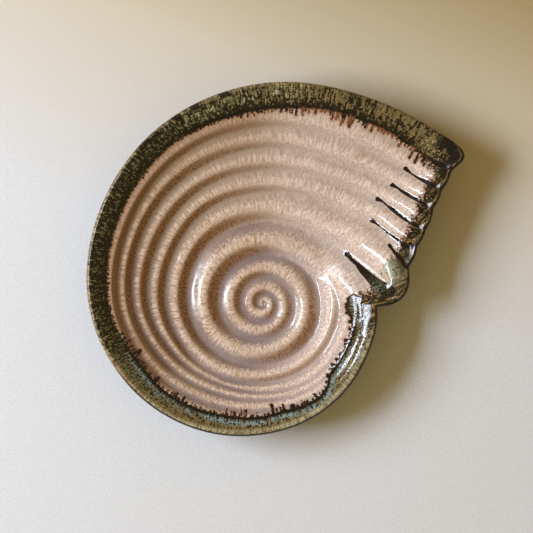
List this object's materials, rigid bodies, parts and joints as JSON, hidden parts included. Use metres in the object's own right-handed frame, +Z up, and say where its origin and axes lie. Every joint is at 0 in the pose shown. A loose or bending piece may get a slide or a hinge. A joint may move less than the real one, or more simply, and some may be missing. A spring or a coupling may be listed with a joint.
{
  "type": "shell shaped platter",
  "caption": "Glazed stoneware platter shaped as a spiral nautilus shell cut open, with ribbed inner face, level rounded rim, scalloped mouth and round foot ring.",
  "frame": {"origin": "middle of the plan's bounding box, on the plane that the foot ring stands on", "axes": "+Z up, square to the foot ring and the level rim; +X towards the side where the shell's mouth and tip are, along the longest extent; +Y across, towards the top of the shell's last whorl"},
  "size_m": [0.3048, 0.2858, 0.038],
  "materials": {
    "reactive_glaze": "glossy reactive glaze, pale pinkish beige on the crests, brown and mauve-grey in the grooves, green-black with olive and ochre at the rim"
  },
  "bodies": {
    "root": {"shell_platter": "reactive_glaze"}
  },
  "joints": []
}
